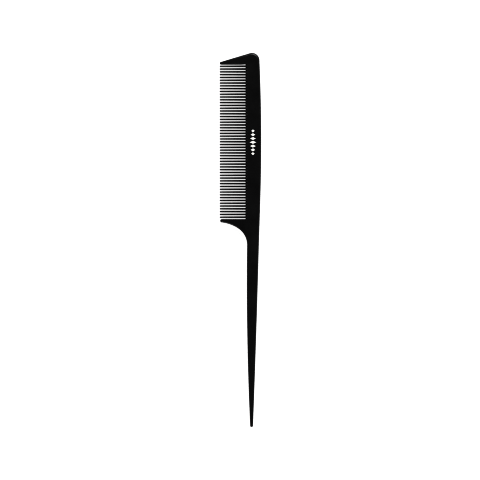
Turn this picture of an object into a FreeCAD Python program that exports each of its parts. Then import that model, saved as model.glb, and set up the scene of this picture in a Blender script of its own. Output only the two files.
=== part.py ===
"""Rat tail comb: a flat moulded comb with fine teeth at one end and a long tapering tail at the other.

The comb lies flat. X runs along it, from the head (-X) to the tip of the tail (+X), Y runs across it, from
the tooth tips (-Y) to the back (+Y), and Z is its thickness. The origin is under the centre of its box, on
the surface that it lies on. Every sub-part is drawn from the comb's own corner, where the front of the head
and the line of the tooth tips meet, and its Placement then moves it to the frame.
"""

import FreeCAD, Part
import math
import os

import Sketcher
from FreeCAD import Vector

DIMENSIONS = {
    # the whole comb
    "overall_length": 226.0,
    "overall_width": 24.95,
    "thickness": 4.0,
    "edge_radius": 1.3,
    "heel_edge_radius": 0.6,
    # the back: a very large arc over the head, then a straight run to the tail
    "back_arc_radius": 1143.7,
    "back_crown_along": 53.46,
    "shoulder_along": 116.13,
    "shoulder_back": 23.53,
    "shoulder_front": 16.55,
    # the head's front edge
    "corner_radius": 4.5,
    "front_slant": 16.72,
    # the row of fine teeth
    "tooth_count": 55,
    "tooth_pitch": 1.6887,
    "first_tooth_along": 8.052,
    "tooth_root_width": 1.0,
    "tooth_tip_width": 0.79,
    "gap_root_line": 15.58,
    "tip_thickness": 1.3,
    "tooth_root_rounding": 0.06,
    "tooth_tip_rounding": 0.3,
    "tooth_end_rounding": 0.29,
    # the ramps that end each gap, one on each face of the spine
    "ramp_angle": 45.0,
    "ramp_reach": 1.25,
    # the two strong teeth that guard the row
    "front_guard_lap": 0.2,
    "rear_nose_radius": 0.96,
    "heel_upper_radius": 12.19,
    "heel_lower_radius": 22.78,
    "heel_joint_angle": 33.3,
    "guard_tip_rounding": 0.5,
    # the tail
    "tail_tip_back": 20.0,
    "tail_tip_front": 18.36,
    "tail_back_bulge": 0.15,
    "tail_front_hollow": 0.81,
    "tail_tip_thickness": 1.64,
    "tail_tip_rounding": 0.78,
    # the printed mark
    "mark_along": 54.0,
    "mark_across": 20.0,
    "mark_length": 16.0,
    "mark_height": 4.2,
    "mark_count": 7,
    "mark_fill": 0.84,
    "mark_film": 0.03,
}

# formulas that several sub-parts share, written for the spreadsheet called Dims
GAP_RADIUS = "(Dims.tooth_pitch - Dims.tooth_root_width) / 2"
SEAM = f"(Dims.gap_root_line - {GAP_RADIUS})"
FIRST_GAP = "(Dims.first_tooth_along - Dims.tooth_pitch / 2)"
RAMP_LINE = f"(Dims.gap_root_line + Dims.ramp_reach - {GAP_RADIUS} / sin(Dims.ramp_angle * 1 deg))"
FRONT_GUARD_EDGE = f"({FIRST_GAP} - {GAP_RADIUS} + Dims.front_guard_lap)"
REAR_GAP_EDGE = f"({FIRST_GAP} + Dims.tooth_count * Dims.tooth_pitch + {GAP_RADIUS})"
HEEL_CENTRE = "(Dims.shoulder_front - Dims.heel_upper_radius)"
CORNER_REACH = (
    "sqrt((Dims.back_arc_radius - Dims.corner_radius)^2"
    " - (Dims.back_crown_along - Dims.corner_radius)^2)"
)
CORNER_CENTRE = f"(Dims.overall_width - Dims.back_arc_radius + {CORNER_REACH})"
SLANT = "(Dims.front_slant * 1 deg)"
FRONT_FOOT = f"(Dims.corner_radius * (1 - 1 / cos{SLANT}) + ({CORNER_CENTRE} - {SEAM}) * tan{SLANT})"
FRONT_NOSE_ROOM = f"({FRONT_GUARD_EDGE} - {FRONT_FOOT} - {SEAM} * tan{SLANT})"
FRONT_NOSE_RADIUS = f"({FRONT_NOSE_ROOM} / (1 + 1 / cos{SLANT} - tan{SLANT}))"
TAIL_END = "(Dims.overall_length - Dims.tail_tip_thickness / 2)"
THROUGH = "3 * Dims.overall_length"

# where the sketch solver starts from; the constraints then settle the exact places
BACK_START_GUESS = (90, 24.3, 0)
BACK_ARC_GUESS = (88.2, 92.5)
NOSE_END_GUESS = 354
HEEL_END_GUESS = 174

START, END, CENTRE = 1, 2, 3
TAIL_STATIONS = 5
NEAR = 0.01

doc = FreeCAD.newDocument("rat_tail_comb")
sheet = doc.addObject("Spreadsheet::Sheet", "Dims")
for row, (name, number) in enumerate(DIMENSIONS.items(), start=1):
    sheet.set(f"A{row}", name)
    sheet.set(f"B{row}", str(number))
    sheet.setAlias(f"B{row}", name)
doc.recompute()


def value(formula):
    """The number that a formula on the sheet gives."""
    found = sheet.evalExpression(formula)
    return float(getattr(found, "Value", found))


def new_body(label):
    """A body that is drawn from the comb's corner and placed in the frame."""
    body = doc.addObject("PartDesign::Body", label)
    body.Label = label
    body.AllowCompound = True
    body.setExpression("Placement.Base.x", "-Dims.overall_length / 2")
    body.setExpression("Placement.Base.y", "-Dims.overall_width / 2")
    return body


def origin_feature(body, role):
    return next(item for item in body.Origin.OriginFeatures if item.Role == role)


def new_sketch(body, name, role="XY_Plane"):
    sketch = body.newObject("Sketcher::SketchObject", name)
    sketch.AttachmentSupport = [(origin_feature(body, role), "")]
    sketch.MapMode = "FlatFace"
    return sketch


def pin(sketch, geometry, point, x=None, y=None):
    """Hold one point of a sketch at formulas measured from the sketch's origin."""
    for kind, formula in (("DistanceX", x), ("DistanceY", y)):
        if formula is not None:
            index = sketch.addConstraint(Sketcher.Constraint(kind, -1, 1, geometry, point, value(formula)))
            sketch.setExpression(f"Constraints[{index}]", formula)


def size(sketch, kind, geometry, formula):
    """Drive a radius, a length or an angle of a sketch by a formula."""
    number = value(formula)
    if kind == "Angle":
        number = math.radians(number)
    index = sketch.addConstraint(Sketcher.Constraint(kind, geometry, number))
    sketch.setExpression(f"Constraints[{index}]", formula)


def join(sketch, first, second, smooth=False):
    """Join the end of one edge to the start of another; each is given as (geometry, point)."""
    kind = "Tangent" if smooth else "Coincident"
    sketch.addConstraint(Sketcher.Constraint(kind, first[0], first[1], second[0], second[1]))


def line(sketch, start, end):
    return sketch.addGeometry(Part.LineSegment(Vector(*start), Vector(*end)))


def arc(sketch, centre, radius, start_angle, end_angle):
    """An arc that runs anticlockwise between two angles in degrees."""
    circle = Part.Circle(Vector(*centre), Vector(0, 0, 1), radius)
    return sketch.addGeometry(
        Part.ArcOfCircle(circle, math.radians(start_angle), math.radians(end_angle))
    )


def on_circle(centre, radius, degrees):
    angle = math.radians(degrees)
    return (centre[0] + radius * math.cos(angle), centre[1] + radius * math.sin(angle), 0)


def pad(body, sketch, name, length):
    """Raise a sketch upwards by a formula."""
    feature = body.newObject("PartDesign::Pad", name)
    feature.Profile = sketch
    feature.setExpression("Length", length)
    doc.recompute()
    return feature


def cut_through(body, sketch, name):
    """Cut a sketch through everything on both of its sides, and make sure that it cut."""
    before = body.Shape.Volume
    feature = body.newObject("PartDesign::Pocket", name)
    feature.Profile = sketch
    feature.SideType = "Symmetric"
    feature.setExpression("Length", THROUGH)
    doc.recompute()
    if body.Shape.Volume >= before:
        raise RuntimeError(f"{body.Label}: {name} cut nothing")
    return feature


def edges_where(shape, wanted):
    """The names of the edges of a shape whose middle point passes a test."""
    found = []
    for number, edge in enumerate(shape.Edges, start=1):
        middle = edge.valueAt((edge.FirstParameter + edge.LastParameter) / 2)
        if wanted(middle):
            found.append(f"Edge{number}")
    return found


def round_edges(body, base, name, radius, wanted):
    """Round the edges of a feature that pass a test."""
    feature = body.newObject("PartDesign::Fillet", name)
    feature.Base = (base, edges_where(base.Shape, wanted))
    feature.setExpression("Radius", radius)
    doc.recompute()
    return feature


def draw_spine_outline(body):
    """The plan of the spine, from the head's corner to the shoulder, down to the seam with the teeth."""
    sketch = new_sketch(body, "spine_outline")
    width, shoulder = value("Dims.overall_width"), value("Dims.shoulder_along")
    back_radius, crown = value("Dims.back_arc_radius"), value("Dims.back_crown_along")
    corner, slant = value("Dims.corner_radius"), value("Dims.front_slant")
    heel, heel_centre = value("Dims.heel_upper_radius"), (shoulder, value(HEEL_CENTRE), 0)
    seam = value(SEAM)
    corner_centre = (corner, value(CORNER_CENTRE), 0)
    slant_top = on_circle(corner_centre, corner, 180 + slant)
    slant_foot = (slant_top[0] + (slant_top[1] - seam) * math.tan(math.radians(slant)), seam, 0)
    heel_start = math.degrees(math.asin((seam - heel_centre[1]) / heel))
    heel_foot = on_circle(heel_centre, heel, 180 - heel_start)

    back_line = line(sketch, (shoulder, value("Dims.shoulder_back"), 0), BACK_START_GUESS)
    back_arc = arc(sketch, (crown, width - back_radius, 0), back_radius, *BACK_ARC_GUESS)
    corner_arc = arc(sketch, corner_centre, corner, BACK_ARC_GUESS[1], 180 + slant)
    front_line = line(sketch, slant_top, slant_foot)
    seam_line = line(sketch, slant_foot, heel_foot)
    heel_arc = arc(sketch, heel_centre, heel, 90, 180 - heel_start)
    end_line = line(sketch, on_circle(heel_centre, heel, 90), (shoulder, value("Dims.shoulder_back"), 0))

    join(sketch, (back_line, END), (back_arc, START), smooth=True)
    join(sketch, (back_arc, END), (corner_arc, START), smooth=True)
    join(sketch, (corner_arc, END), (front_line, START), smooth=True)
    join(sketch, (front_line, END), (seam_line, START))
    join(sketch, (seam_line, END), (heel_arc, END))
    join(sketch, (heel_arc, START), (end_line, START))
    join(sketch, (end_line, END), (back_line, START))
    pin(sketch, back_line, START, "Dims.shoulder_along", "Dims.shoulder_back")
    pin(sketch, back_arc, CENTRE, "Dims.back_crown_along", "Dims.overall_width - Dims.back_arc_radius")
    size(sketch, "Radius", back_arc, "Dims.back_arc_radius")
    pin(sketch, corner_arc, CENTRE, "Dims.corner_radius")
    size(sketch, "Radius", corner_arc, "Dims.corner_radius")
    size(sketch, "Angle", front_line, "(Dims.front_slant - 90) * 1 deg")
    pin(sketch, front_line, END, y=SEAM)
    pin(sketch, heel_arc, CENTRE, "Dims.shoulder_along", HEEL_CENTRE)
    size(sketch, "Radius", heel_arc, "Dims.heel_upper_radius")
    pin(sketch, heel_arc, END, y=SEAM)
    pin(sketch, heel_arc, START, x="Dims.shoulder_along")
    return sketch


def draw_gap_root(body):
    """The round root of the first gap."""
    sketch = new_sketch(body, "gap_root")
    circle = Part.Circle(Vector(value(FIRST_GAP), value(SEAM), 0), Vector(0, 0, 1), value(GAP_RADIUS))
    root = sketch.addGeometry(circle)
    pin(sketch, root, CENTRE, FIRST_GAP, SEAM)
    size(sketch, "Radius", root, GAP_RADIUS)
    return sketch


def draw_ramp(body, name, side):
    """The section of the first gap's ramp, tilted outwards through one face: round inside, open outside."""
    sketch = new_sketch(body, name)
    sketch.setExpression("AttachmentOffset.Base.z", "Dims.thickness" if side > 0 else "0")
    sketch.setExpression("AttachmentOffset.Base.y", RAMP_LINE)
    sketch.setExpression("AttachmentOffset.Rotation.Axis.x", "1")
    sketch.setExpression("AttachmentOffset.Rotation.Axis.z", "0")
    tilt = f"{-side} * (90 - Dims.ramp_angle) * 1 deg"
    sketch.setExpression("AttachmentOffset.Rotation.Angle", tilt)
    middle, radius, mouth = value(FIRST_GAP), value(GAP_RADIUS), -value("Dims.ramp_reach")

    bottom = arc(sketch, (middle, 0, 0), radius, 0, 180)
    left = line(sketch, (middle - radius, 0, 0), (middle - radius, mouth, 0))
    top = line(sketch, (middle - radius, mouth, 0), (middle + radius, mouth, 0))
    right = line(sketch, (middle + radius, mouth, 0), (middle + radius, 0, 0))
    join(sketch, (bottom, END), (left, START), smooth=True)
    join(sketch, (left, END), (top, START))
    join(sketch, (top, END), (right, START))
    join(sketch, (right, END), (bottom, START), smooth=True)
    pin(sketch, bottom, CENTRE, FIRST_GAP, "0")
    size(sketch, "Radius", bottom, GAP_RADIUS)
    pin(sketch, top, START, y="-Dims.ramp_reach")
    for wall in (left, right):
        sketch.addConstraint(Sketcher.Constraint("Vertical", wall))
    sketch.addConstraint(Sketcher.Constraint("Horizontal", top))
    return sketch


def build_spine():
    """The spine: a flat bar with rounded edges, one round-ended notch and two ramps for each gap."""
    body = new_body("spine")
    blank = pad(body, draw_spine_outline(body), "spine_pad", "Dims.thickness")
    seam, shoulder = value(SEAM), value("Dims.shoulder_along")
    thickness, heel = value("Dims.thickness"), value("Dims.heel_upper_radius")
    heel_centre = (shoulder, value(HEEL_CENTRE))

    def on_rim(middle):
        flat = min(abs(middle.z), abs(middle.z - thickness)) < NEAR
        return flat and middle.y > seam + NEAR and middle.x < shoulder - NEAR

    def on_heel(middle):
        return on_rim(middle) and math.dist((middle.x, middle.y), heel_centre) < heel + NEAR

    def on_back(middle):
        return on_rim(middle) and not on_heel(middle)

    rim = round_edges(body, blank, "back_edges", "Dims.edge_radius", on_back)
    round_edges(body, rim, "heel_edges", "Dims.heel_edge_radius", on_heel)
    cuts = [
        cut_through(body, draw_gap_root(body), "gap_root_cut"),
        cut_through(body, draw_ramp(body, "upper_ramp", 1), "upper_ramp_cut"),
        cut_through(body, draw_ramp(body, "lower_ramp", -1), "lower_ramp_cut"),
    ]
    gaps = body.newObject("PartDesign::LinearPattern", "gap_row")
    gaps.Originals = cuts
    gaps.Direction = (origin_feature(body, "X_Axis"), [""])
    gaps.Mode = "Spacing"
    gaps.setExpression("Offset", "Dims.tooth_pitch")
    gaps.setExpression("Occurrences", "Dims.tooth_count + 1")
    body.Tip = gaps
    doc.recompute()
    return body


def draw_front_guard(body):
    """The plan of the front guard tooth: a wedge from the slanted edge to just inside the first gap."""
    sketch = new_sketch(body, "front_guard_outline")
    slant, seam, inner = value("Dims.front_slant"), value(SEAM), value(FRONT_GUARD_EDGE)
    outer, nose = value(FRONT_FOOT), value(FRONT_NOSE_RADIUS)
    nose_centre = (inner - nose, nose, 0)

    seam_line = line(sketch, (outer, seam, 0), (inner, seam, 0))
    inner_line = line(sketch, (inner, seam, 0), (inner, nose, 0))
    nose_arc = arc(sketch, nose_centre, nose, 180 + slant, 360)
    outer_line = line(sketch, on_circle(nose_centre, nose, 180 + slant), (outer, seam, 0))
    join(sketch, (seam_line, END), (inner_line, START))
    join(sketch, (inner_line, END), (nose_arc, END), smooth=True)
    join(sketch, (nose_arc, START), (outer_line, START), smooth=True)
    join(sketch, (outer_line, END), (seam_line, START))
    pin(sketch, seam_line, END, FRONT_GUARD_EDGE, SEAM)
    pin(sketch, seam_line, START, FRONT_FOOT, SEAM)
    sketch.addConstraint(Sketcher.Constraint("Vertical", inner_line))
    size(sketch, "Angle", outer_line, "(Dims.front_slant + 90) * 1 deg")
    size(sketch, "Radius", nose_arc, FRONT_NOSE_RADIUS)
    return sketch


def draw_rear_guard(body):
    """The plan of the rear guard tooth: a rounded nose, then the two hollow arcs of the comb's heel."""
    sketch = new_sketch(body, "rear_guard_outline")
    seam, inner, nose = value(SEAM), value(REAR_GAP_EDGE), value("Dims.rear_nose_radius")
    upper, lower = value("Dims.heel_upper_radius"), value("Dims.heel_lower_radius")
    joint = value("Dims.heel_joint_angle")
    upper_centre = (value("Dims.shoulder_along"), value(HEEL_CENTRE), 0)
    lower_centre = on_circle(upper_centre, lower - upper, -joint)
    heel_foot_angle = 180 - math.degrees(math.asin((seam - upper_centre[1]) / upper))
    nose_centre = (inner + nose, nose, 0)

    inner_line = line(sketch, (inner, seam, 0), (inner, nose, 0))
    nose_arc = arc(sketch, nose_centre, nose, 180, NOSE_END_GUESS)
    lower_arc = arc(sketch, lower_centre, lower, 180 - joint, HEEL_END_GUESS)
    upper_arc = arc(sketch, upper_centre, upper, heel_foot_angle, 180 - joint)
    seam_line = line(sketch, on_circle(upper_centre, upper, heel_foot_angle), (inner, seam, 0))
    join(sketch, (inner_line, END), (nose_arc, START), smooth=True)
    join(sketch, (nose_arc, END), (lower_arc, END), smooth=True)
    join(sketch, (lower_arc, START), (upper_arc, END), smooth=True)
    join(sketch, (upper_arc, START), (seam_line, START))
    join(sketch, (seam_line, END), (inner_line, START))
    pin(sketch, inner_line, START, REAR_GAP_EDGE, SEAM)
    sketch.addConstraint(Sketcher.Constraint("Vertical", inner_line))
    size(sketch, "Radius", nose_arc, "Dims.rear_nose_radius")
    size(sketch, "Radius", lower_arc, "Dims.heel_lower_radius")
    size(sketch, "Radius", upper_arc, "Dims.heel_upper_radius")
    pin(sketch, upper_arc, CENTRE, "Dims.shoulder_along", HEEL_CENTRE)
    pin(sketch, upper_arc, START, y=SEAM)
    joint_line = f"{HEEL_CENTRE} + Dims.heel_upper_radius * sin(Dims.heel_joint_angle * 1 deg)"
    pin(sketch, upper_arc, END, y=joint_line)
    return sketch


def draw_side_tapers(body):
    """Two slivers seen from the end: what thins a guard tooth from the seam down to its tip, on each face."""
    sketch = new_sketch(body, "side_tapers", "YZ_Plane")
    beyond = "-Dims.thickness"
    reach = f"(1 + Dims.thickness / {SEAM})"
    thinning = f"(Dims.thickness - Dims.tip_thickness) / 2 * {reach}"
    for face, thinned in (("0", thinning), ("Dims.thickness", f"Dims.thickness - {thinning}")):
        corners = [(SEAM, face), (beyond, face), (beyond, thinned)]
        points = [(value(y), value(z), 0) for y, z in corners]
        sides = [line(sketch, points[side - 1], points[side]) for side in range(3)]
        for side in range(3):
            join(sketch, (sides[side - 1], END), (sides[side], START))
            pin(sketch, sides[side], END, *corners[side])
    return sketch


def build_guard(label, draw_outline, inner_edge, root_rounding, tip_rounding):
    """A guard tooth: its plan raised and thinned towards the tip, with its edges rounded all round."""
    body = new_body(f"{label}_blank")
    pad(body, draw_outline(body), f"{label}_pad", "Dims.thickness")
    cut_through(body, draw_side_tapers(body), f"{label}_tapers")
    seam = value(SEAM)
    root_radius, tip_radius = value(f"Dims.{root_rounding}"), value(f"Dims.{tip_rounding}")
    inner = value(f"{inner_edge} - Dims.overall_length / 2")
    shift = value("Dims.overall_width / 2")

    def radius_at(point):
        return tip_radius + (root_radius - tip_radius) * (point.y + shift) / seam

    rounded = []
    for number, edge in enumerate(body.Shape.Edges, start=1):
        start, end = (edge.valueAt(edge.FirstParameter), edge.valueAt(edge.LastParameter))
        middle = edge.valueAt((edge.FirstParameter + edge.LastParameter) / 2)
        upright = math.hypot(start.x - end.x, start.y - end.y) < NEAR
        if not upright and middle.y + shift < seam - NEAR and abs(middle.x - inner) > NEAR:
            rounded.append((number, radius_at(start), radius_at(end)))
    guard = doc.addObject("Part::Fillet", label)
    guard.Label = label
    guard.Base = body
    guard.Edges = rounded
    doc.recompute()
    return guard


def draw_rounded_section(body, name, role, offset, x_span, y_span, low_radius, high_radius):
    """A rectangle between formulas for its sides, its corners rounded more on one side than on the other."""
    sketch = new_sketch(body, name, role)
    sketch.setExpression("AttachmentOffset.Base.z", offset)
    corners = [
        (f"{x_span[1]} - {high_radius}", f"{y_span[1]} - {high_radius}", high_radius),
        (f"{x_span[0]} + {low_radius}", f"{y_span[1]} - {low_radius}", low_radius),
        (f"{x_span[0]} + {low_radius}", f"{y_span[0]} + {low_radius}", low_radius),
        (f"{x_span[1]} - {high_radius}", f"{y_span[0]} + {high_radius}", high_radius),
    ]
    rounds = [((value(x), value(y), 0), value(radius)) for x, y, radius in corners]
    arcs = [
        arc(sketch, centre, radius, 90 * quarter, 90 * quarter + 90)
        for quarter, (centre, radius) in enumerate(rounds)
    ]
    for quarter, (x, y, radius) in enumerate(corners):
        following = (quarter + 1) % 4
        turned = 90 * quarter + 90
        side = line(sketch, on_circle(*rounds[quarter], turned), on_circle(*rounds[following], turned))
        join(sketch, (arcs[quarter], END), (side, START), smooth=True)
        join(sketch, (side, END), (arcs[following], START), smooth=True)
        pin(sketch, arcs[quarter], CENTRE, x, y)
        size(sketch, "Radius", arcs[quarter], radius)
    return sketch


def loft(body, name, sections):
    feature = body.newObject("PartDesign::AdditiveLoft", name)
    feature.Profile = sections[0]
    feature.Sections = sections[1:]
    feature.Ruled = len(sections) == 2
    doc.recompute()
    return feature


def build_tooth(number):
    """One fine tooth: a tapered blade, full thickness at the seam, narrow, thin and rounded at its tip."""
    body = new_body(f"tooth_{number:02d}")
    place = f"Dims.first_tooth_along + {number - 1} * Dims.tooth_pitch - Dims.overall_length / 2"
    body.setExpression("Placement.Base.x", place)
    ends = []
    for name, offset, width, thickness, rounding in (
        ("root", f"-{SEAM}", "Dims.tooth_root_width", "Dims.thickness", "Dims.tooth_root_rounding"),
        ("tip", "0", "Dims.tooth_tip_width", "Dims.tip_thickness", "Dims.tooth_tip_rounding"),
    ):
        x_span = (f"-{width} / 2", f"{width} / 2")
        y_span = (f"(Dims.thickness - {thickness}) / 2", f"(Dims.thickness + {thickness}) / 2")
        section = f"tooth_{number:02d}_{name}"
        rounded = (rounding, rounding)
        ends.append(draw_rounded_section(body, section, "XZ_Plane", offset, x_span, y_span, *rounded))
    blade = loft(body, f"tooth_{number:02d}_blade", ends)

    def at_tip(middle):
        return middle.y < NEAR

    round_edges(body, blade, f"tooth_{number:02d}_tip_edges", "Dims.tooth_end_rounding", at_tip)
    return body


def build_tail():
    """The tail: a shaft through rounded sections from the shoulder's size down, with a ball point."""
    body = new_body("tail")
    sections = []
    for station in range(TAIL_STATIONS):
        share = station / (TAIL_STATIONS - 1)
        curve = 4 * share * (1 - share)

        def between(start, end):
            return f"({start} + ({end} - {start}) * {share})"

        back_line = between("Dims.shoulder_back", "Dims.tail_tip_back")
        front_line = between("Dims.shoulder_front", "Dims.tail_tip_front")
        back = f"({back_line} + Dims.tail_back_bulge * {curve})"
        front = f"({front_line} - Dims.tail_front_hollow * {curve})"
        thickness = between("Dims.thickness", "Dims.tail_tip_thickness")
        sections.append(
            draw_rounded_section(
                body,
                f"tail_section_{station + 1}",
                "YZ_Plane",
                between("Dims.shoulder_along", TAIL_END),
                (front, back),
                (f"(Dims.thickness - {thickness}) / 2", f"(Dims.thickness + {thickness}) / 2"),
                between("Dims.heel_edge_radius", "Dims.tail_tip_rounding"),
                between("Dims.edge_radius", "Dims.tail_tip_rounding"),
            )
        )
    loft(body, "tail_shaft", sections)
    point = body.newObject("PartDesign::AdditiveSphere", "tail_point")
    point.AttachmentSupport = [(origin_feature(body, "YZ_Plane"), "")]
    point.MapMode = "FlatFace"
    point.setExpression("Radius", "Dims.tail_tip_thickness / 2")
    point.setExpression("AttachmentOffset.Base.x", "(Dims.tail_tip_front + Dims.tail_tip_back) / 2")
    point.setExpression("AttachmentOffset.Base.y", "Dims.thickness / 2")
    point.setExpression("AttachmentOffset.Base.z", TAIL_END)
    doc.recompute()
    return body


def build_mark():
    """The printed mark: a row of plain lozenges of ink on the spine's upper face, tallest in the middle."""
    body = new_body("printed_mark")
    sketch = new_sketch(body, "mark_outline")
    sketch.setExpression("AttachmentOffset.Base.z", "Dims.thickness")
    count = int(value("Dims.mark_count"))
    for place in range(count):
        step = place - (count - 1) / 2
        middle = f"(Dims.mark_along + {step} * Dims.mark_length / Dims.mark_count)"
        half_width = "Dims.mark_fill * Dims.mark_length / Dims.mark_count / 2"
        half_height = f"Dims.mark_height / 2 * (1 - {abs(step)} / (Dims.mark_count - 1))"
        corners = [
            (f"{middle} + {half_width}", "Dims.mark_across"),
            (middle, f"Dims.mark_across + {half_height}"),
            (f"{middle} - {half_width}", "Dims.mark_across"),
            (middle, f"Dims.mark_across - {half_height}"),
        ]
        points = [(value(x), value(y), 0) for x, y in corners]
        sides = [line(sketch, points[side - 1], points[side]) for side in range(4)]
        for side in range(4):
            join(sketch, (sides[side - 1], END), (sides[side], START))
            pin(sketch, sides[side], END, *corners[side])
    pad(body, sketch, "mark_ink", "Dims.mark_film")
    return body


def check(subparts):
    """Stop before anything is written if an object failed or a sub-part's shape isn't sound."""
    doc.recompute()
    for item in doc.Objects:
        if "Invalid" in item.State or "Error" in item.State:
            raise RuntimeError(f"{item.Label} failed: {item.State}")
        if item.TypeId == "Sketcher::SketchObject" and not item.FullyConstrained:
            raise RuntimeError(f"{item.Label} isn't fully constrained")
    for item in subparts:
        if item.Shape.isNull() or not item.Shape.isValid():
            raise RuntimeError(f"{item.Label} has no sound shape")
        print(f"{item.Label}: {len(item.Shape.Solids)} solid(s), {item.Shape.Volume:.2f} mm3")


subparts = [
    build_spine(),
    build_guard("front_guard_tooth", draw_front_guard, FRONT_GUARD_EDGE, "edge_radius", "guard_tip_rounding"),
    build_guard("rear_guard_tooth", draw_rear_guard, REAR_GAP_EDGE, "heel_edge_radius", "heel_edge_radius"),
    build_tail(),
    build_mark(),
]
subparts += [build_tooth(number) for number in range(1, int(value("Dims.tooth_count")) + 1)]
check(subparts)
os.makedirs("parts", exist_ok=True)
for item in subparts:
    item.Shape.exportStep(f"parts/{item.Label}.step")
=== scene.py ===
"""A rat tail comb in black moulded plastic, lying on a pale table under soft studio light."""

import math
import random

import bmesh
import bpy
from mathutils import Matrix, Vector
from mathutils.bvhtree import BVHTree


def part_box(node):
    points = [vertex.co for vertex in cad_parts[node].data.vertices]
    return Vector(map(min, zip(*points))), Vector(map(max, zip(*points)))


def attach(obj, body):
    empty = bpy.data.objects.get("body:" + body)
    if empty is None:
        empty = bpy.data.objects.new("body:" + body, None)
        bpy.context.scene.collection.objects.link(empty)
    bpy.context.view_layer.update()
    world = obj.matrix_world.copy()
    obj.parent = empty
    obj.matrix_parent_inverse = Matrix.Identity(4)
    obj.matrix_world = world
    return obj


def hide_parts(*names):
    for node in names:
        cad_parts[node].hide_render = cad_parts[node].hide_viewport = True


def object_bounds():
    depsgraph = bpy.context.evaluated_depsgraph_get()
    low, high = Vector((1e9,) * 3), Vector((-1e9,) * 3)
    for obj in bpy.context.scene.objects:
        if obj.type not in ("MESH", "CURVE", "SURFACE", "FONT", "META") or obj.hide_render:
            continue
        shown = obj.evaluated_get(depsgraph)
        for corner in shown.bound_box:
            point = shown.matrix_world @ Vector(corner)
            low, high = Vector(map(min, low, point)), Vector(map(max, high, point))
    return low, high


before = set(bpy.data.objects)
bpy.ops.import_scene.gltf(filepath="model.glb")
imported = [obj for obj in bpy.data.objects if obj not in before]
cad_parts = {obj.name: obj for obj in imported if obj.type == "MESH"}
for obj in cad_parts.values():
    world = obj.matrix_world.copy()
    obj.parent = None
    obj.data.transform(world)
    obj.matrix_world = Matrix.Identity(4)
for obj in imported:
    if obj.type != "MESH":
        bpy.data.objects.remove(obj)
cad_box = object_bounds()

MM = 0.001
MIDWAY = 0.5
WHITE = (1.0, 1.0, 1.0, 1.0)


def grey(level):
    return (level, level, level)


# --------------------------------------------------------------------------------------------------
# Materials
# --------------------------------------------------------------------------------------------------


def fill_ramp(node, stops):
    """Sets a colour ramp's stops, given as (place, colour)."""
    elements = node.color_ramp.elements
    while len(elements) < len(stops):
        elements.new(MIDWAY)
    for element, (place, colour) in zip(elements, stops):
        element.position = place
        element.color = (*colour, 1.0)


class Nodes:
    """A short way to add and link the nodes of one material."""

    def __init__(self, name):
        self.material = bpy.data.materials.new(name)
        self.material.use_nodes = True
        self.tree = self.material.node_tree
        self.shader = next(node for node in self.tree.nodes if node.type == "BSDF_PRINCIPLED")
        self.position = self.add("ShaderNodeTexCoord").outputs["Object"]

    def add(self, kind, inputs=None, **settings):
        node = self.tree.nodes.new(kind)
        for key, setting in settings.items():
            setattr(node, key, setting)
        for key, source in (inputs or {}).items():
            if isinstance(source, bpy.types.NodeSocket):
                self.tree.links.new(source, node.inputs[key])
            else:
                node.inputs[key].default_value = source
        return node

    def link(self, source, socket):
        self.tree.links.new(source, self.shader.inputs[socket])

    def set(self, socket, number):
        self.shader.inputs[socket].default_value = number

    def stretched(self, x=1.0, y=1.0, z=1.0):
        """The position in millimetres, squeezed along each axis by that much."""
        squeeze = (x / MM, y / MM, z / MM)
        scaled = self.add("ShaderNodeVectorMath", {0: self.position, 1: squeeze}, operation="MULTIPLY")
        return scaled.outputs[0]

    def noise(self, vector, scale, detail, roughness):
        inputs = {"Vector": vector, "Scale": scale, "Detail": detail, "Roughness": roughness}
        return self.add("ShaderNodeTexNoise", inputs).outputs["Fac"]

    def spread(self, factor, low, high, from_low=0.0, from_high=1.0):
        inputs = {"Value": factor, "To Min": low, "To Max": high}
        inputs.update({"From Min": from_low, "From Max": from_high})
        return self.add("ShaderNodeMapRange", inputs).outputs["Result"]

    def ramp(self, factor, stops):
        node = self.add("ShaderNodeValToRGB", {"Fac": factor})
        fill_ramp(node, stops)
        return node.outputs["Color"]

    def bump(self, layers):
        """Stacks (height, strength, depth in mm) layers into the shader's normal."""
        normal = None
        for height, strength, depth in layers:
            inputs = {"Height": height, "Strength": strength, "Distance": depth * MM}
            if normal is not None:
                inputs["Normal"] = normal
            normal = self.add("ShaderNodeBump", inputs).outputs["Normal"]
        self.link(normal, "Normal")


PLASTIC_TINTS = [(0.3, (0.0074, 0.0074, 0.0075)), (0.7, (0.0105, 0.0105, 0.0106))]
FLECK_COLOUR = (0.024, 0.024, 0.024, 1.0)
PLASTIC_IOR = 1.49
SCUFFING = 0.12
INK_WHITES = [(0.25, (0.70, 0.70, 0.69)), (0.45, (0.84, 0.84, 0.82)), (0.8, (0.89, 0.89, 0.87))]
TABLE_GREYS = [(0.0, grey(0.34)), (1.0, grey(0.37))]
TABLE_ROUGHNESS = 0.9
TABLE_SHINE = 0.1


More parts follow.
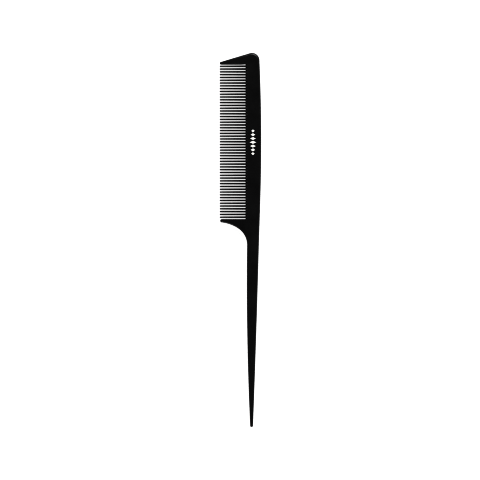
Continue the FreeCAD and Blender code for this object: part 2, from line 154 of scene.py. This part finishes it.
def black_plastic():
    """Satin black moulded plastic: faint clouds and flecks, a fine grain and hairlines along the comb."""
    nodes = Nodes("comb_plastic")
    place = nodes.stretched()
    along = nodes.stretched(x=0.06)
    clouds = nodes.noise(place, scale=0.09, detail=4.0, roughness=0.55)
    flecks = nodes.noise(place, scale=2.6, detail=2.0, roughness=0.6)
    grain = nodes.noise(place, scale=5.5, detail=3.0, roughness=0.6)
    hairlines = nodes.noise(along, scale=3.2, detail=5.0, roughness=0.7)
    scratches = nodes.spread(hairlines, low=0.0, high=1.0, from_low=0.62, from_high=0.80)
    fleck_share = nodes.spread(flecks, low=0.0, high=0.25, from_low=0.62, from_high=0.80)
    tints = {"Factor": fleck_share, "A": nodes.ramp(clouds, PLASTIC_TINTS), "B": FLECK_COLOUR}
    tinted = nodes.add("ShaderNodeMix", tints, data_type="RGBA")
    nodes.link(tinted.outputs["Result"], "Base Color")
    cloudy = nodes.spread(clouds, low=0.32, high=0.40, from_low=0.3, from_high=0.7)
    scuffed = {0: scratches, 1: SCUFFING, 2: cloudy}
    roughness = nodes.add("ShaderNodeMath", scuffed, operation="MULTIPLY_ADD")
    nodes.link(roughness.outputs[0], "Roughness")
    nodes.set("IOR", PLASTIC_IOR)
    nodes.bump([(grain, 0.24, 0.02), (scratches, 0.08, 0.01)])
    return nodes.material


def white_ink():
    """Pad-printed white ink: a little thin in places, with a slight orange peel."""
    nodes = Nodes("mark_ink")
    place = nodes.stretched()
    cover = nodes.noise(place, scale=3.0, detail=4.0, roughness=0.6)
    peel = nodes.noise(place, scale=4.0, detail=2.0, roughness=0.5)
    nodes.link(nodes.ramp(cover, INK_WHITES), "Base Color")
    nodes.link(nodes.spread(cover, low=0.42, high=0.62), "Roughness")
    nodes.bump([(peel, 0.15, 0.02)])
    return nodes.material


def table_top():
    """A plain pale table, faintly lit from within, and more so beyond the reach of the lamps."""
    nodes = Nodes("table_top")
    mottle = nodes.noise(nodes.stretched(), scale=0.02, detail=3.0, roughness=0.5)
    nodes.link(nodes.ramp(mottle, TABLE_GREYS), "Base Color")
    nodes.set("Roughness", TABLE_ROUGHNESS)
    nodes.set("Specular IOR Level", TABLE_SHINE)
    nodes.set("Emission Color", WHITE)
    metres = nodes.add("ShaderNodeVectorMath", {0: nodes.position}, operation="LENGTH").outputs["Value"]
    glow = nodes.spread(metres, low=0.80, high=0.96, from_low=0.4, from_high=2.0)
    nodes.link(glow, "Emission Strength")
    return nodes.material


plastic = black_plastic()
ink = white_ink()
for name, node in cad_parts.items():
    node.data.materials.clear()
    node.data.materials.append(ink if name == "printed_mark" else plastic)

# --------------------------------------------------------------------------------------------------
# Pieces
# --------------------------------------------------------------------------------------------------

low, high = cad_box
centre = (low + high) / 2

WELD = 0.002 * MM
SHARP = math.radians(30)
EDGE_SOFTENING = 0.09 * MM
SOFTENING_SEGMENTS = 3
ROUND_PROFILE = 0.5
BIG_FACES_LEAD = 100
SEAM_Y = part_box("tooth_01")[1].y
SHOULDER_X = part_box("spine")[1].x

# the comb's own measures in millimetres and degrees, from its corner, as the CAD model has them
LENGTH = (high.x - low.x) / MM
WIDTH = (high.y - low.y) / MM
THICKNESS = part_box("spine")[1].z / MM
TIP_THICKNESS = 1.3
TOOTH_COUNT = 55
PITCH = 1.6887
FIRST_TOOTH = 8.052
ROOT_WIDTH = 1.0
ROOT_LINE = 15.58
RAMP_REACH = 1.25
EDGE_RADIUS = 1.3
HEEL_EDGE = 0.6
GUARD_TIP_EDGE = 0.5
BACK_RADIUS = 1143.7
CROWN = 53.46
CORNER_RADIUS = 4.5
SLANT = 16.72
SHOULDER = 116.13
SHOULDER_BACK = 23.53
SHOULDER_FRONT = 16.55
HEEL_UPPER = 12.19
HEEL_LOWER = 22.78
HEEL_JOINT = 33.3
REAR_NOSE = 0.96
FRONT_GUARD_LAP = 0.2
TAIL_TIP = (18.36, 20.0)
TAIL_TIP_THICKNESS = 1.64
TAIL_TIP_ROUNDING = 0.78
TAIL_BACK_BULGE = 0.15
TAIL_FRONT_HOLLOW = 0.81

FIRST_GAP = FIRST_TOOTH - PITCH / 2
GAP_RADIUS = (PITCH - ROOT_WIDTH) / 2
SEAM = ROOT_LINE - GAP_RADIUS
DIAGONAL = math.sqrt(2)
RAMP_LINE = ROOT_LINE + RAMP_REACH - GAP_RADIUS * DIAGONAL

# how finely the meshes follow those shapes
ROUNDING_STEPS = 8
CORNER_STEPS = 28
SLANT_STEPS = 4
BACK_STEPS = 60
BACK_LINE_STEPS = 20
HEEL_STEPS = 30
GAP_STEPS = 14
NOSE_STEPS = 24
GUARD_STEPS = 30
INNER_FADE = 8
TAIL_STATIONS = 80


def on_joint(point):
    """Whether a point is on the plane where the teeth or the tail grow from the spine."""
    return abs(point.y - SEAM_Y) < WELD or abs(point.x - SHOULDER_X) < WELD


def copy_of(piece):
    """The welded shape of a piece or a CAD node, for building on."""
    shape = bmesh.new()
    shape.from_mesh(piece.data)
    bmesh.ops.remove_doubles(shape, verts=shape.verts, dist=WELD)
    return shape


def add_piece(name, shape, material):
    """An object of the shape, smooth except along its sharp edges, that rides on the comb."""
    mesh = bpy.data.meshes.new(name)
    shape.to_mesh(mesh)
    shape.free()
    mesh.materials.append(material)
    mesh.shade_smooth()
    mesh.set_sharp_from_angle(angle=SHARP)
    piece = bpy.data.objects.new(name, mesh)
    bpy.context.scene.collection.objects.link(piece)
    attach(piece, "root")
    return piece


def at(x, y, z):
    """A place in the frame, from millimetres measured from the comb's corner."""
    return Vector((x * MM, y * MM, z * MM)) + Vector((low.x, low.y, 0.0))


def polar(centre, radius, degrees):
    """The point of a circle at an angle."""
    angle = math.radians(degrees)
    return (centre[0] + radius * math.cos(angle), centre[1] + radius * math.sin(angle))


def line_points(start, end, steps):
    return [
        (start[0] + (end[0] - start[0]) * step / steps, start[1] + (end[1] - start[1]) * step / steps)
        for step in range(steps + 1)
    ]


def arc_points(centre, radius, start, end, steps):
    return [polar(centre, radius, start + (end - start) * step / steps) for step in range(steps + 1)]


def reach_seam(point, toward):
    """Where the line through two points meets the seam."""
    share = (SEAM - point[1]) / (toward[1] - point[1])
    return (point[0] + (toward[0] - point[0]) * share, SEAM)


def down_slant(point):
    """Another point, further down the head's slanted edge."""
    return polar(point, 1.0, SLANT - 90)


def rounding():
    """Steps across a rounded edge, from the flat face out: shares of its radius (inwards, down)."""
    turns = [math.pi / 2 * step / ROUNDING_STEPS for step in range(ROUNDING_STEPS + 1)]
    return [(1 - math.sin(turn), 1 - math.cos(turn)) for turn in turns]


def add_rim(shape, path, radii, half_at):
    """The rounded edge along a path, as rows of vertices from the upper face round to the lower one.

    path(inwards) gives the path moved into the piece by that share of the edge's radius, and radii
    gives the radius at each of its points."""
    rows = []
    for side, steps in ((1, rounding()), (-1, rounding()[::-1])):
        for inwards, down in steps:
            rows.append([
                shape.verts.new(at(x, y, THICKNESS / 2 + side * (half_at(y) - radius * down)))
                for (x, y), radius in zip(path(inwards), radii)
            ])
    for first, second in zip(rows, rows[1:]):
        for step in range(len(first) - 1):
            shape.faces.new((first[step], first[step + 1], second[step + 1], second[step]))
    return rows


def column(rows, place):
    """The vertices across a rim at one place on its path."""
    return [row[place] for row in rows]


BACK_CENTRE = (CROWN, WIDTH - BACK_RADIUS)
CORNER_CENTRE = (
    CORNER_RADIUS,
    BACK_CENTRE[1] + math.sqrt((BACK_RADIUS - CORNER_RADIUS) ** 2 - (CROWN - CORNER_RADIUS) ** 2),
)
CORNER_TURN = math.degrees(
    math.atan2(CORNER_CENTRE[1] - BACK_CENTRE[1], CORNER_CENTRE[0] - BACK_CENTRE[0])
)
SHOULDER_REACH = (SHOULDER - BACK_CENTRE[0], SHOULDER_BACK - BACK_CENTRE[1])
BACK_END = math.degrees(
    math.atan2(SHOULDER_REACH[1], SHOULDER_REACH[0])
    + math.acos(BACK_RADIUS / math.hypot(*SHOULDER_REACH))
)
HEEL_CENTRE = (SHOULDER, SHOULDER_FRONT - HEEL_UPPER)
LOWER_CENTRE = polar(HEEL_CENTRE, HEEL_LOWER - HEEL_UPPER, -HEEL_JOINT)
FRONT_GAP_EDGE = FIRST_GAP - GAP_RADIUS
REAR_GAP_EDGE = FIRST_GAP + TOOTH_COUNT * PITCH + GAP_RADIUS
SLANT_TOP = polar(CORNER_CENTRE, CORNER_RADIUS, 180 + SLANT)
FRONT_FOOT = reach_seam(SLANT_TOP, down_slant(SLANT_TOP))


def back_path(inwards):
    """From the head's slanted edge at the seam, round the corner and along the back to the shoulder."""
    inset = EDGE_RADIUS * inwards
    corner = arc_points(CORNER_CENTRE, CORNER_RADIUS - inset, 180 + SLANT, CORNER_TURN, CORNER_STEPS)
    slanted = line_points(reach_seam(corner[0], down_slant(corner[0])), corner[0], SLANT_STEPS)
    back = arc_points(BACK_CENTRE, BACK_RADIUS - inset, CORNER_TURN, BACK_END, BACK_STEPS)
    slope = math.radians(BACK_END - 90)
    end = (SHOULDER, back[-1][1] + (SHOULDER - back[-1][0]) * math.tan(slope))
    return slanted + corner[1:] + back[1:] + line_points(back[-1], end, BACK_LINE_STEPS)[1:]


def heel_path(inwards):
    """From the shoulder down the hollow of the heel to the seam."""
    reach = HEEL_UPPER + HEEL_EDGE * inwards
    foot = 180 - math.degrees(math.asin((SEAM - HEEL_CENTRE[1]) / reach))
    return arc_points(HEEL_CENTRE, reach, 90, foot, HEEL_STEPS)


def add_gap(shape, middle):
    """One gap's round root with a ramp to each face, returned as four curves from the upper face down."""
    meeting = THICKNESS - (RAMP_LINE - SEAM)
    curves = [[], [], [], []]
    for step in range(GAP_STEPS + 1):
        turn = math.pi * step / GAP_STEPS
        x, far = middle + GAP_RADIUS * math.cos(turn), GAP_RADIUS * math.sin(turn)
        deep = meeting - far * (DIAGONAL - 1)
        mouth = RAMP_LINE + far * DIAGONAL
        places = ((mouth, THICKNESS), (SEAM + far, deep), (SEAM + far, THICKNESS - deep), (mouth, 0))
        for curve, (y, z) in zip(curves, places):
            curve.append(shape.verts.new(at(x, y, z)))
    for first, second in zip(curves, curves[1:]):
        for step in range(GAP_STEPS):
            shape.faces.new((first[step], second[step], second[step + 1], first[step + 1]))
    return curves


def soften_edges(shape):
    """Rounds the sharp edges a little, as a mould leaves them, except where pieces join."""
    sharp = [
        edge
        for edge in shape.edges
        if edge.calc_face_angle() > SHARP and not all(on_joint(vert.co) for vert in edge.verts)
    ]
    bmesh.ops.bevel(
        shape,
        geom=sharp,
        offset=EDGE_SOFTENING,
        segments=SOFTENING_SEGMENTS,
        profile=ROUND_PROFILE,
        affect="EDGES",
        clamp_overlap=True,
    )


def spine_piece():
    """The spine between its rounded back and heel, with a gap and its ramps beside every tooth."""
    shape = bmesh.new()

    def half(_):
        return THICKNESS / 2

    back = add_rim(shape, back_path, [EDGE_RADIUS] * len(back_path(0)), half)
    heel = add_rim(shape, heel_path, [HEEL_EDGE] * len(heel_path(0)), half)
    shape.faces.new(column(back, -1) + column(heel, 0)[::-1])
    upper, lower = back[0] + heel[0], back[-1] + heel[-1]
    side = column(heel, -1)
    for number in range(TOOTH_COUNT, -1, -1):
        middle = FIRST_GAP + number * PITCH
        curves = add_gap(shape, middle)
        sides = []
        for place, x in ((0, middle + GAP_RADIUS), (-1, middle - GAP_RADIUS)):
            top = shape.verts.new(at(x, SEAM, THICKNESS))
            bottom = shape.verts.new(at(x, SEAM, 0))
            shape.faces.new((top, curves[0][place], curves[1][place]))
            shape.faces.new((bottom, curves[2][place], curves[3][place]))
            sides.append([top, curves[1][place], curves[2][place], bottom])
        upper += [sides[0][0], *curves[0], sides[1][0]]
        lower += [sides[0][-1], *curves[-1], sides[1][-1]]
        shape.faces.new(side + sides[0][::-1])
        side = sides[1]
    shape.faces.new(side + column(back, 0)[::-1])
    shape.faces.new(upper)
    shape.faces.new(lower[::-1])
    bmesh.ops.recalc_face_normals(shape, faces=shape.faces[:])
    soften_edges(shape)
    return replace_node("spine", shape)


def taper(y):
    """Half the thickness of a guard tooth at a distance from the line of the tips."""
    return (TIP_THICKNESS + (THICKNESS - TIP_THICKNESS) * y / SEAM) / 2


def guard_piece(name, path, radii):
    """A guard tooth, thinning from the seam to its tip, with edges rounded by the radii along its path."""
    shape = bmesh.new()
    rows = add_rim(shape, path, radii, taper)
    shape.faces.new(rows[0])
    shape.faces.new(rows[-1][::-1])
    shape.faces.new(column(rows, 0) + column(rows, -1)[::-1])
    bmesh.ops.recalc_face_normals(shape, faces=shape.faces[:])
    return replace_node(name, shape)


def run_out():
    """How full a guard tooth's inner side is, step by step from the nose up to the seam."""
    shares = [min(1.0, (GUARD_STEPS - step) / INNER_FADE) for step in range(GUARD_STEPS + 1)]
    return [share * (2 - share) for share in shares]


def inner_radii(nose_edge):
    """The edge radii beside a gap, from the nose up to the seam, where the rounding runs out."""
    softening = EDGE_SOFTENING / MM
    return [softening + (nose_edge - softening) * share for share in run_out()]


FRONT_LEAN = math.radians(SLANT)
FRONT_INNER = FRONT_GAP_EDGE + FRONT_GUARD_LAP
FRONT_NOSE = (FRONT_INNER - FRONT_FOOT[0] - SEAM * math.tan(FRONT_LEAN)) / (
    1 + 1 / math.cos(FRONT_LEAN) - math.tan(FRONT_LEAN)
)


def front_path(inwards):
    """Down the head's slanted edge, round the nose and up beside the first gap."""
    nose_centre = (FRONT_INNER - FRONT_NOSE, FRONT_NOSE)
    nose_radius = FRONT_NOSE - inwards * GUARD_TIP_EDGE
    nose = arc_points(nose_centre, nose_radius, 180 + SLANT, 360, NOSE_STEPS)
    foot = (FRONT_FOOT[0] + inwards * EDGE_RADIUS / math.cos(FRONT_LEAN), SEAM)
    inner = line_points((FRONT_GAP_EDGE, FRONT_NOSE), (FRONT_GAP_EDGE, SEAM), GUARD_STEPS)
    moved = [
        (x + FRONT_GUARD_LAP * share - inwards * radius, y)
        for (x, y), share, radius in zip(inner, run_out(), inner_radii(GUARD_TIP_EDGE))
    ]
    return line_points(foot, nose[0], GUARD_STEPS) + nose[1:] + moved[1:]


FRONT_RADII = [
    EDGE_RADIUS + (GUARD_TIP_EDGE - EDGE_RADIUS) * step / GUARD_STEPS
    for step in range(GUARD_STEPS + 1)
]
FRONT_RADII += [GUARD_TIP_EDGE] * NOSE_STEPS + inner_radii(GUARD_TIP_EDGE)[1:]

# the rear nose touches both the gap's side and the heel's lower arc
REAR_NOSE_X = REAR_GAP_EDGE + REAR_NOSE
REAR_NOSE_Y = LOWER_CENTRE[1] + math.sqrt(
    (HEEL_LOWER + REAR_NOSE) ** 2 - (LOWER_CENTRE[0] - REAR_NOSE_X) ** 2
)
REAR_NOSE_END = 360 + math.degrees(
    math.atan2(LOWER_CENTRE[1] - REAR_NOSE_Y, LOWER_CENTRE[0] - REAR_NOSE_X)
)


def rear_path(inwards):
    """Down beside the last gap, round the nose and up the two hollow arcs of the heel."""
    inset = HEEL_EDGE * inwards
    upper, lower = HEEL_UPPER + inset, HEEL_LOWER + inset
    foot = 180 - math.degrees(math.asin((SEAM - HEEL_CENTRE[1]) / upper))
    nose = arc_points((REAR_NOSE_X, REAR_NOSE_Y), REAR_NOSE - inset, 180, REAR_NOSE_END, NOSE_STEPS)
    inner = line_points((REAR_GAP_EDGE, SEAM), (REAR_GAP_EDGE, REAR_NOSE_Y), GUARD_STEPS)
    moved = [(x + inwards * radius, y) for (x, y), radius in zip(inner, inner_radii(HEEL_EDGE)[::-1])]
    lower_arc = arc_points(LOWER_CENTRE, lower, REAR_NOSE_END - 180, 180 - HEEL_JOINT, GUARD_STEPS)
    upper_arc = arc_points(HEEL_CENTRE, upper, 180 - HEEL_JOINT, foot, GUARD_STEPS)
    return moved[:-1] + nose + lower_arc[1:] + upper_arc[1:]


REAR_RADII = inner_radii(HEEL_EDGE)[::-1] + [HEEL_EDGE] * (NOSE_STEPS + 2 * GUARD_STEPS)


def tail_ring(share):
    """(y, z) round the tail at a share of its length, rounder on the back than on the front."""
    bow = 4 * share * (1 - share)
    front = SHOULDER_FRONT + (TAIL_TIP[0] - SHOULDER_FRONT) * share - TAIL_FRONT_HOLLOW * bow
    back = SHOULDER_BACK + (TAIL_TIP[1] - SHOULDER_BACK) * share + TAIL_BACK_BULGE * bow
    half = (THICKNESS + (TAIL_TIP_THICKNESS - THICKNESS) * share) / 2
    front_edge = HEEL_EDGE + (TAIL_TIP_ROUNDING - HEEL_EDGE) * share
    back_edge = EDGE_RADIUS + (TAIL_TIP_ROUNDING - EDGE_RADIUS) * share
    middle = THICKNESS / 2
    corners = [
        ((back - back_edge, middle + half - back_edge), back_edge, 0),
        ((front + front_edge, middle + half - front_edge), front_edge, 90),
        ((front + front_edge, middle - half + front_edge), front_edge, 180),
        ((back - back_edge, middle - half + back_edge), back_edge, 270),
    ]
    return [
        point
        for centre_point, radius, start in corners
        for point in arc_points(centre_point, radius, start, start + 90, ROUNDING_STEPS)
    ]


def tail_piece():
    """The tail, ring by ring from the shoulder to the ball at its point."""
    shape = bmesh.new()
    ball = TAIL_TIP_THICKNESS / 2
    end = LENGTH - ball
    heart = ((TAIL_TIP[0] + TAIL_TIP[1]) / 2, THICKNESS / 2)
    rings = []
    for station in range(TAIL_STATIONS + 1):
        share = station / TAIL_STATIONS
        along = SHOULDER + (end - SHOULDER) * share
        rings.append([shape.verts.new(at(along, *spot)) for spot in tail_ring(share)])
    for step in range(1, ROUNDING_STEPS):
        turn = math.pi / 2 * step / ROUNDING_STEPS
        along, shrink = end + ball * math.sin(turn), math.cos(turn)
        spots = [
            (heart[0] + (y - heart[0]) * shrink, heart[1] + (z - heart[1]) * shrink)
            for y, z in tail_ring(1.0)
        ]
        rings.append([shape.verts.new(at(along, *spot)) for spot in spots])
    for first, second in zip(rings, rings[1:]):
        for place in range(len(first)):
            following = (place + 1) % len(first)
            shape.faces.new((first[place], second[place], second[following], first[following]))
    shape.faces.new(rings[0])
    point = shape.verts.new(at(LENGTH, *heart))
    for place, vert in enumerate(rings[-1]):
        shape.faces.new((vert, point, rings[-1][(place + 1) % len(rings[-1])]))
    bmesh.ops.recalc_face_normals(shape, faces=shape.faces[:])
    return replace_node("tail", shape)


def replace_node(node_name, shape):
    """Makes a piece of the shape that stands for a CAD node, its flat faces shaded flat."""
    piece = add_piece(f"{node_name}_moulding", shape, plastic)
    keep_flats = piece.modifiers.new("keep_flats", "WEIGHTED_NORMAL")
    keep_flats.keep_sharp = True
    keep_flats.weight = BIG_FACES_LEAD
    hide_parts(node_name)
    return piece


MID_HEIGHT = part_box("spine")[1].z / 2
RIDGE_HEIGHT = 0.03 * MM
RIDGE_HALF_WIDTH = 0.07 * MM
RIDGE_CREST = 0.02 * MM
RIDGE_ROOT = 0.03 * MM
CLOSEST = 0.004 * MM


def outline_at_mid_height(shape):
    """Cuts a shape down to its outline at mid height.

    The result is where its vertices are and, for each vertex, which others an edge joins it to. Edges
    where pieces join are left out."""
    bmesh.ops.bisect_plane(
        shape,
        geom=shape.verts[:] + shape.edges[:] + shape.faces[:],
        plane_co=(0, 0, MID_HEIGHT),
        plane_no=(0, 0, 1),
        clear_inner=True,
        clear_outer=True,
    )
    shape.verts.index_update()
    neighbours = {}
    for edge in shape.edges:
        first, second = edge.verts
        if not (on_joint(first.co) and on_joint(second.co)):
            neighbours.setdefault(first.index, []).append(second.index)
            neighbours.setdefault(second.index, []).append(first.index)
    return [vert.co.copy() for vert in shape.verts], neighbours


def follow(start, neighbours, used):
    """The vertices of an open chain, from one of its ends to the other."""
    chain = [start]
    used.add(start)
    while True:
        following = [vertex for vertex in neighbours[chain[-1]] if vertex not in used]
        if not following:
            return chain
        chain.append(following[0])
        used.add(following[0])


def thinned(points):
    """The points, without those that nearly touch the one before."""
    kept = points[:1]
    for point in points[1:]:
        if (point - kept[-1]).length > CLOSEST:
            kept.append(point)
    return kept


def directions_out(points, surface):
    """At each point the level direction out of the surface, midway between the stretches beside it."""
    outward = []
    for first, second in zip(points, points[1:]):
        normal = surface.find_nearest((first + second) / 2)[1]
        outward.append(Vector((normal.x, normal.y, 0.0)).normalized())
    return [
        (outward[max(step - 1, 0)] + outward[min(step, len(outward) - 1)]).normalized()
        for step in range(len(points))
    ]


def edge_chains(piece):
    """Where a piece's surface crosses the mid height, except at the joints.

    The result is a list of open chains of (point, outward direction)."""
    shape = copy_of(piece)
    surface = BVHTree.FromBMesh(shape)
    places, neighbours = outline_at_mid_height(shape)
    shape.free()
    chains, used = [], set()
    for start in sorted(vertex for vertex, near in neighbours.items() if len(near) == 1):
        if start not in used:
            points = thinned([places[vertex] for vertex in follow(start, neighbours, used)])
            chains.append(list(zip(points, directions_out(points, surface))))
    return chains


def add_ridge(shape, chain):
    """A fine ridge along one chain, sunk a little into the surface."""
    profile = [
        (-RIDGE_ROOT, -RIDGE_HALF_WIDTH),
        (RIDGE_HEIGHT, -RIDGE_CREST),
        (RIDGE_HEIGHT, RIDGE_CREST),
        (-RIDGE_ROOT, RIDGE_HALF_WIDTH),
    ]
    rings = [
        [shape.verts.new(point + outward * out + Vector((0, 0, up))) for out, up in profile]
        for point, outward in chain
    ]
    for first, second in zip(rings, rings[1:]):
        for side in range(len(profile)):
            following = (side + 1) % len(profile)
            shape.faces.new((first[side], first[following], second[following], second[side]))
    shape.faces.new(rings[0][::-1])
    shape.faces.new(rings[-1])


def parting_line(chains):
    """The hairline of plastic left where the halves of the mould met, along every edge of the comb."""
    shape = bmesh.new()
    for chain in chains:
        add_ridge(shape, chain)
    bmesh.ops.recalc_face_normals(shape, faces=shape.faces[:])
    add_piece("parting_line", shape, plastic)


GATE_ALONG = -18.0 * MM
GATE_HALF_LENGTH = 1.1 * MM
GATE_HALF_WIDTH = 0.5 * MM
GATE_HEIGHT = 0.10 * MM
GATE_ROUGHNESS = 0.022 * MM
GATE_LONG_STEPS = 22
GATE_CROSS_STEPS = 10
GATE_CORNERS = 5.0
SEED = 7


def gate_vestige(chains):
    """The trimmed stub on the back edge where the plastic flowed in: low, flat and slightly torn."""
    place, outward = min(
        (link for chain in chains for link in chain if link[1].y > 0),
        key=lambda link: abs(link[0].x - GATE_ALONG),
    )
    along = Vector((outward.y, -outward.x, 0.0))
    draws = random.Random(SEED)
    shape = bmesh.new()
    across = range(-GATE_CROSS_STEPS, GATE_CROSS_STEPS + 1)
    rows = []
    for u in range(-GATE_LONG_STEPS, GATE_LONG_STEPS + 1):
        row = []
        for v in across:
            share = (u / GATE_LONG_STEPS, v / GATE_CROSS_STEPS)
            reach = (abs(share[0]) ** GATE_CORNERS + abs(share[1]) ** GATE_CORNERS) / 2
            tear = draws.uniform(-1, 1) * GATE_ROUGHNESS * (1 - reach)
            rise = GATE_HEIGHT * (1 - reach ** 2) - RIDGE_ROOT * reach + tear
            spot = place + along * (share[0] * GATE_HALF_LENGTH) + outward * rise
            row.append(shape.verts.new((spot.x, spot.y, MID_HEIGHT + share[1] * GATE_HALF_WIDTH)))
        rows.append(row)
    for first, second in zip(rows, rows[1:]):
        for step in range(len(first) - 1):
            shape.faces.new((first[step], second[step], second[step + 1], first[step + 1]))
    rim = [edge for edge in shape.edges if edge.is_boundary]
    sunk = bmesh.ops.extrude_edge_only(shape, edges=rim)["geom"]
    sunk_verts = [item for item in sunk if isinstance(item, bmesh.types.BMVert)]
    bmesh.ops.translate(shape, verts=sunk_verts, vec=-outward * RIDGE_ROOT)
    bmesh.ops.contextual_create(shape, geom=[edge for edge in shape.edges if edge.is_boundary])
    bmesh.ops.recalc_face_normals(shape, faces=shape.faces[:])
    add_piece("gate_vestige", shape, plastic)


spine = spine_piece()
mouldings = [
    spine,
    guard_piece("front_guard_tooth", front_path, FRONT_RADII),
    guard_piece("rear_guard_tooth", rear_path, REAR_RADII),
    tail_piece(),
]
mouldings += [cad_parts[f"tooth_{number:02d}"] for number in range(1, TOOTH_COUNT + 1)]
parting_line([chain for piece in mouldings for chain in edge_chains(piece)])
gate_vestige(edge_chains(spine))

# --------------------------------------------------------------------------------------------------
# Table, light and camera
# --------------------------------------------------------------------------------------------------

TABLE_SIDE = 24.0
CLEARANCE = 0.02 * MM
floor_mesh = bpy.data.meshes.new("floor")
reach = TABLE_SIDE / 2
level = low.z - CLEARANCE
around = [(-reach, -reach), (reach, -reach), (reach, reach), (-reach, reach)]
floor_mesh.from_pydata([(x, y, level) for x, y in around], [], [(0, 1, 2, 3)])
floor_mesh.materials.append(table_top())
floor = bpy.data.objects.new("floor", floor_mesh)
bpy.context.scene.collection.objects.link(floor)


LAMP_SIDE = 0.7
KEY_WATTS = 16.0
FILL_WATTS = 12.0


def soft_light(name, place, watts):
    """A square lamp that faces the comb and that the camera doesn't see."""
    light = bpy.data.lights.new(name, "AREA")
    light.shape = "RECTANGLE"
    light.size = LAMP_SIDE
    light.size_y = LAMP_SIDE
    light.energy = watts
    lamp = bpy.data.objects.new(name, light)
    lamp.location = place
    lamp.rotation_mode = "QUATERNION"
    lamp.rotation_quaternion = (centre - Vector(place)).to_track_quat("-Z", "Y")
    lamp.visible_camera = False
    bpy.context.scene.collection.objects.link(lamp)


soft_light("key_light", (-0.95, 0.30, 0.75), KEY_WATTS)
soft_light("fill_light", (0.95, -0.20, 0.70), FILL_WATTS)

DOME_STOPS = [
    (0.0, grey(0.50)), (0.35, grey(0.36)), (0.62, grey(0.14)), (0.86, grey(0.045)), (1.0, grey(0.03)),
]

world = bpy.data.worlds.new("studio")
bpy.context.scene.world = world
world.use_nodes = True
tree = world.node_tree
background = tree.nodes["Background"]
direction = tree.nodes.new("ShaderNodeSeparateXYZ")
tree.links.new(tree.nodes.new("ShaderNodeTexCoord").outputs["Generated"], direction.inputs[0])
dome = tree.nodes.new("ShaderNodeValToRGB")
tree.links.new(direction.outputs["Z"], dome.inputs["Fac"])
fill_ramp(dome, DOME_STOPS)
paths = tree.nodes.new("ShaderNodeLightPath")
backdrop = tree.nodes.new("ShaderNodeMix")
backdrop.data_type = "RGBA"
tree.links.new(paths.outputs["Is Camera Ray"], backdrop.inputs["Factor"])
tree.links.new(dome.outputs["Color"], backdrop.inputs["A"])
backdrop.inputs["B"].default_value = WHITE
tree.links.new(backdrop.outputs["Result"], background.inputs["Color"])

# a long lens from far away hides the side walls in the gaps, and the gamma keeps fine stripes dark
FIELD = 0.290
LENS = 400.0
SENSOR = 36.0
NEAREST = 0.01
FARTHEST = 100.0
STRIPE_GAMMA = 0.62
PIXEL_FILTER = 1.0
AIM = Vector((0.0, -0.0003, 0.0))
camera_data = bpy.data.cameras.new("camera")
camera_data.lens = LENS
camera_data.sensor_width = SENSOR
camera = bpy.data.objects.new("camera", camera_data)
distance = FIELD * LENS / SENSOR
camera.location = Vector((AIM.x, AIM.y, centre.z + distance))
camera.rotation_euler = (0.0, 0.0, math.pi / 2)
camera_data.clip_start = NEAREST
camera_data.clip_end = FARTHEST
bpy.context.scene.collection.objects.link(camera)
bpy.context.scene.camera = camera
bpy.context.scene.view_settings.view_transform = "Standard"
bpy.context.scene.view_settings.gamma = STRIPE_GAMMA
bpy.context.scene.cycles.filter_width = PIXEL_FILTER
